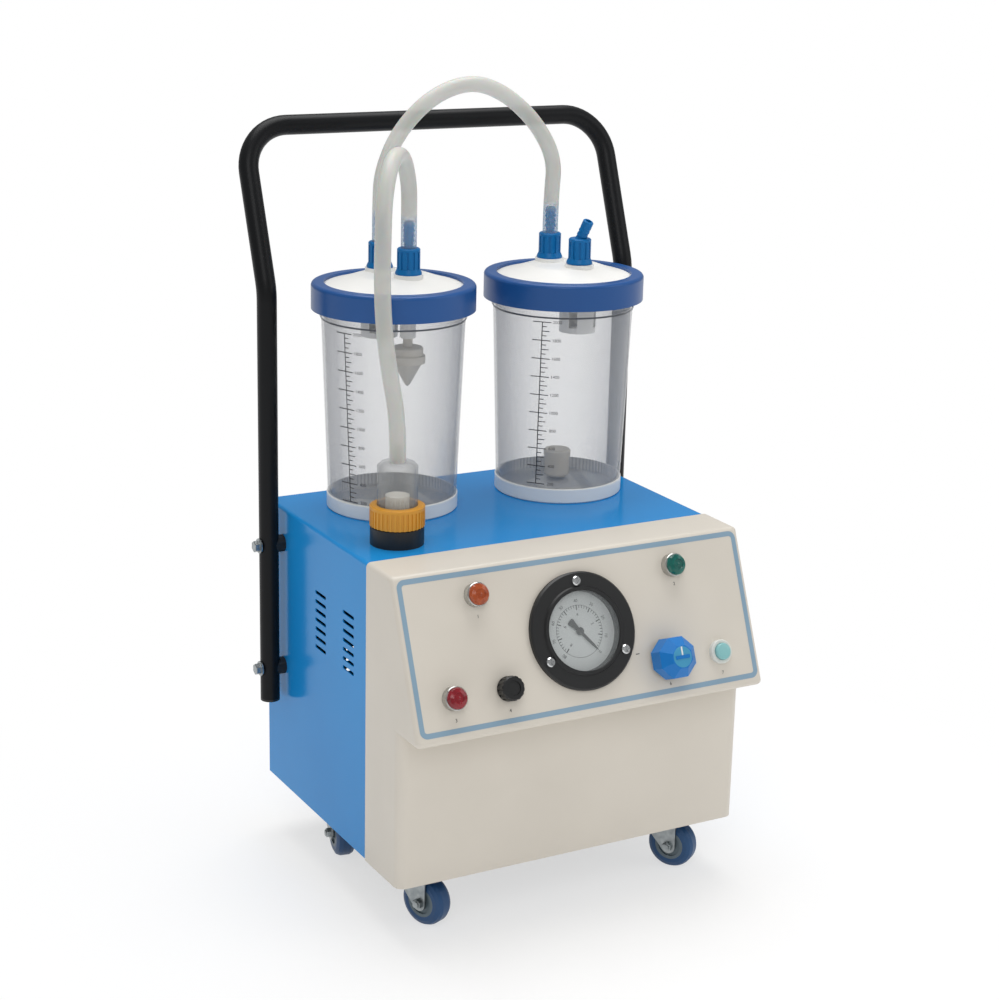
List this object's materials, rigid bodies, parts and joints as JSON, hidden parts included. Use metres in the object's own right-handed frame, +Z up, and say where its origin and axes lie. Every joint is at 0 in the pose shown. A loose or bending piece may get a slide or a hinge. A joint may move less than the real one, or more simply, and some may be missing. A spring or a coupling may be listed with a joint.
{
  "type": "vacuum aspirator",
  "caption": "Portable electric suction machine: cabinet on castors with a sloping control console, collection jars on top, looping hoses, a bacteria filter and a push handle.",
  "frame": {"origin": "middle of the footprint at floor level", "axes": "+X to the right as seen from the front, +Y to the rear, +Z up"},
  "size_m": [0.4032, 0.3592, 0.7192],
  "materials": {
    "cabinet_cover": "light blue gloss enamel",
    "rear_panel": "light blue gloss enamel",
    "base_tray": "grey enamel",
    "front_moulding": "cream moulded plastic, printed border",
    "cabinet_screws": "zinc plated",
    "power_inlet": "black",
    "lamp_bezels": "satin chrome",
    "lamp_lens_amber": "translucent amber",
    "lamp_lens_green": "translucent green",
    "lamp_lens_red": "translucent red",
    "fuse_holder": "black",
    "gauge_case": "black",
    "gauge_dial": null,
    "gauge_glass": "clear",
    "gauge_screws": "polished",
    "regulator_valve": "plain with black collar",
    "switch_body": "whitish",
    "handle": "black enamel tube",
    "handle_spacers": "black",
    "handle_bolts": "zinc plated",
    "castor_plates": "zinc plated",
    "castor_screws": "zinc plated",
    "jar_feet": "white",
    "jar_seals": "pale grey",
    "jar_lids": "white",
    "jar_left": "clear with printed graduations",
    "jar_right": "clear with printed graduations",
    "hose_connectors": "bright blue",
    "jar_link_hose": "milky translucent silicone",
    "filter_hose": "milky translucent silicone",
    "filter_base": "black",
    "filter_dome": "clear",
    "filter_element": "pale filter paper",
    "motor_casing": "cast",
    "pump_cylinder": "machined",
    "pump_mounts": "black",
    "inner_tubing": "milky translucent silicone",
    "fuse_cap": "black",
    "fuse_cartridge": "clear with metal ends",
    "gauge_needle": "dark grey",
    "control_knob": "bright blue with white pointer",
    "push_button": "pale aqua",
    "jar_ring_left": "dark blue",
    "jar_ring_right": "dark blue",
    "suction_elbow": "bright blue",
    "float_valve": "ivory",
    "float_cup": "white",
    "filter_ring": "yellow ochre",
    "motor_shaft": "ground",
    "cooling_fan": "black",
    "pump_rotor": "machined",
    "pump_vanes": "carbon",
    "castor_fork_fl": "zinc plated",
    "castor_wheel_fl": "blue tyre on a grey hub",
    "castor_fork_fr": "zinc plated",
    "castor_wheel_fr": "blue tyre on a grey hub",
    "castor_fork_rl": "zinc plated",
    "castor_wheel_rl": "blue tyre on a grey hub",
    "castor_fork_rr": "zinc plated",
    "castor_wheel_rr": "blue tyre on a grey hub"
  },
  "bodies": {
    "cabinet": {"cabinet_cover": "cabinet_cover", "rear_panel": "rear_panel", "base_tray": "base_tray", "front_moulding": "front_moulding", "cabinet_screws": "cabinet_screws", "power_inlet": "power_inlet", "lamp_bezels": "lamp_bezels", "lamp_lens_amber": "lamp_lens_amber", "lamp_lens_green": "lamp_lens_green", "lamp_lens_red": "lamp_lens_red", "fuse_holder": "fuse_holder", "gauge_case": "gauge_case", "gauge_dial": "gauge_dial", "gauge_glass": "gauge_glass", "gauge_screws": "gauge_screws", "regulator_valve": "regulator_valve", "switch_body": "switch_body", "handle": "handle", "handle_spacers": "handle_spacers", "handle_bolts": "handle_bolts", "castor_plates": "castor_plates", "castor_screws": "castor_screws", "jar_feet": "jar_feet", "jar_seals": "jar_seals", "jar_lids": "jar_lids", "jar_left": "jar_left", "jar_right": "jar_right", "hose_connectors": "hose_connectors", "jar_link_hose": "jar_link_hose", "filter_hose": "filter_hose", "filter_base": "filter_base", "filter_dome": "filter_dome", "filter_element": "filter_element", "motor_casing": "motor_casing", "pump_cylinder": "pump_cylinder", "pump_mounts": "pump_mounts", "inner_tubing": "inner_tubing"},
    "fuse_cap": {"fuse_cap": "fuse_cap", "fuse_cartridge": "fuse_cartridge"},
    "gauge_needle": {"gauge_needle": "gauge_needle"},
    "control_knob": {"control_knob": "control_knob"},
    "push_button": {"push_button": "push_button"},
    "jar_ring_left": {"jar_ring_left": "jar_ring_left"},
    "jar_ring_right": {"jar_ring_right": "jar_ring_right"},
    "suction_elbow": {"suction_elbow": "suction_elbow"},
    "float_valve": {"float_valve": "float_valve"},
    "float_cup": {"float_cup": "float_cup"},
    "filter_ring": {"filter_ring": "filter_ring"},
    "drive_rotor": {"motor_shaft": "motor_shaft", "cooling_fan": "cooling_fan", "pump_rotor": "pump_rotor", "pump_vanes": "pump_vanes"},
    "castor_fork_fl": {"castor_fork_fl": "castor_fork_fl"},
    "castor_wheel_fl": {"castor_wheel_fl": "castor_wheel_fl"},
    "castor_fork_fr": {"castor_fork_fr": "castor_fork_fr"},
    "castor_wheel_fr": {"castor_wheel_fr": "castor_wheel_fr"},
    "castor_fork_rl": {"castor_fork_rl": "castor_fork_rl"},
    "castor_wheel_rl": {"castor_wheel_rl": "castor_wheel_rl"},
    "castor_fork_rr": {"castor_fork_rr": "castor_fork_rr"},
    "castor_wheel_rr": {"castor_wheel_rr": "castor_wheel_rr"}
  },
  "joints": [
    {"name": "fuse_cap_turn", "type": "hinge", "parent": "cabinet", "child": "fuse_cap", "pos_m": [-0.0833, -0.15148, 0.23355], "axis": [0, -0.9259, 0.3778], "range_deg": [0, 60]},
    {"name": "gauge_needle_turn", "type": "hinge", "parent": "cabinet", "child": "gauge_needle", "pos_m": [-0.003, -0.13728, 0.26837], "axis": [0, 0.9259, -0.3778], "range_deg": [0, 276], "stiffness_Nm_per_rad": 0.0005, "springref_deg": -11.46},
    {"name": "control_knob_turn", "type": "hinge", "parent": "cabinet", "child": "control_knob", "pos_m": [0.0775, -0.15107, 0.23457], "axis": [0, -0.9259, 0.3778], "range_deg": [-135, 135]},
    {"name": "push_button_press", "type": "slide", "parent": "cabinet", "child": "push_button", "axis": [0, 0.9259, -0.3778], "range_m": [0, 0.0025], "stiffness_N_per_m": 400, "springref_m": -0.001},
    {"name": "filter_ring_turn", "type": "hinge", "parent": "cabinet", "child": "filter_ring", "pos_m": [-0.1236, -0.02079, 0.34785], "axis": [0, 0, 1], "range_deg": [0, 360]},
    {"name": "drive_spin", "type": "hinge", "parent": "cabinet", "child": "drive_rotor", "pos_m": [0, 0.03061, 0.136], "axis": [1, 0, 0], "continuous": true},
    {"name": "jar_ring_left_turn", "type": "hinge", "parent": "cabinet", "child": "jar_ring_left", "pos_m": [-0.0755, 0.08761, 0.53725], "axis": [0, 0, 1], "range_deg": [0, 360]},
    {"name": "jar_ring_right_turn", "type": "hinge", "parent": "cabinet", "child": "jar_ring_right", "pos_m": [0.095, 0.07561, 0.53725], "axis": [0, 0, 1], "range_deg": [0, 360]},
    {"name": "suction_elbow_swivel", "type": "hinge", "parent": "cabinet", "child": "suction_elbow", "pos_m": [0.09901, 0.055, 0.55], "axis": [0, 0, 1], "continuous": true},
    {"name": "float_valve_rise", "type": "slide", "parent": "cabinet", "child": "float_valve", "axis": [0, 0, 1], "range_m": [0, 0.006]},
    {"name": "float_cup_rise", "type": "slide", "parent": "cabinet", "child": "float_cup", "axis": [0, 0, 1], "range_m": [0, 0.118]},
    {"name": "castor_swivel_fl", "type": "hinge", "parent": "cabinet", "child": "castor_fork_fl", "pos_m": [-0.134, -0.08139, 0.05], "axis": [0, 0, 1], "continuous": true},
    {"name": "castor_roll_fl", "type": "hinge", "parent": "castor_fork_fl", "child": "castor_wheel_fl", "pos_m": [-0.12794, -0.09566, 0.0225], "axis": [0.9205, 0.3907, 0], "continuous": true},
    {"name": "castor_swivel_fr", "type": "hinge", "parent": "cabinet", "child": "castor_fork_fr", "pos_m": [0.124, -0.08139, 0.05], "axis": [0, 0, 1], "continuous": true},
    {"name": "castor_roll_fr", "type": "hinge", "parent": "castor_fork_fr", "child": "castor_wheel_fr", "pos_m": [0.13244, -0.09439, 0.0225], "axis": [0.8387, 0.5446, 0], "continuous": true},
    {"name": "castor_swivel_rl", "type": "hinge", "parent": "cabinet", "child": "castor_fork_rl", "pos_m": [-0.134, 0.07861, 0.05], "axis": [0, 0, 1], "continuous": true},
    {"name": "castor_roll_rl", "type": "hinge", "parent": "castor_fork_rl", "child": "castor_wheel_rl", "pos_m": [-0.13709, 0.06342, 0.0225], "axis": [0.9799, -0.1994, 0], "continuous": true},
    {"name": "castor_swivel_rr", "type": "hinge", "parent": "cabinet", "child": "castor_fork_rr", "pos_m": [0.124, 0.07861, 0.05], "axis": [0, 0, 1], "continuous": true},
    {"name": "castor_roll_rr", "type": "hinge", "parent": "castor_fork_rr", "child": "castor_wheel_rr", "pos_m": [0.12562, 0.06319, 0.0225], "axis": [0.9945, 0.1045, 0], "continuous": true}
  ]
}
